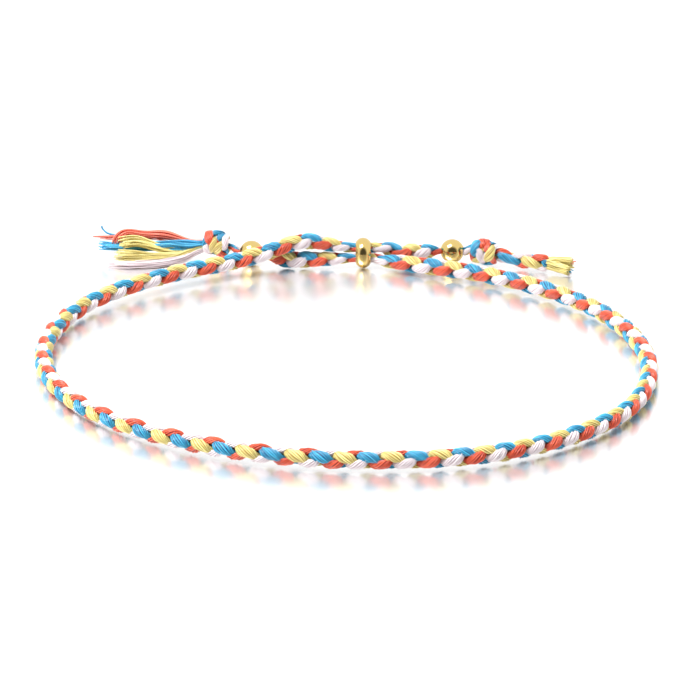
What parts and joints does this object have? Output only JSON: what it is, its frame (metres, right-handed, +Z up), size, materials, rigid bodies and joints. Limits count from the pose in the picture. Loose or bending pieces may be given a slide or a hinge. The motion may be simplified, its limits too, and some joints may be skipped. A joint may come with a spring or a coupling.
{
  "type": "braided bracelet",
  "caption": "Adjustable bracelet of round braided cotton in blue, yellow, red and white, with a gold-coloured slider bead, stopper beads, knotted ends and a tassel, lying flat.",
  "frame": {"origin": "middle of the bracelet's plan box, on the surface that it lies on", "axes": "+Z up from the surface, -Y towards the front of the wrist loop, +X to the right as seen from the front"},
  "size_m": [0.073, 0.0768, 0.0046],
  "materials": {
    "cotton_blue": "matte",
    "cotton_yellow": "matte",
    "cotton_red": "matte",
    "cotton_white": "matte",
    "gold_plated_brass": "polished",
    "cotton_loose": "matte"
  },
  "bodies": {
    "root": {"strand_blue": "cotton_blue", "strand_yellow": "cotton_yellow", "strand_red": "cotton_red", "strand_white": "cotton_white", "slider_bead": "gold_plated_brass", "stopper_bead_left": "gold_plated_brass", "stopper_bead_right": "gold_plated_brass", "tassel_left": "cotton_loose", "cut_end_right": "cotton_loose"}
  },
  "joints": []
}
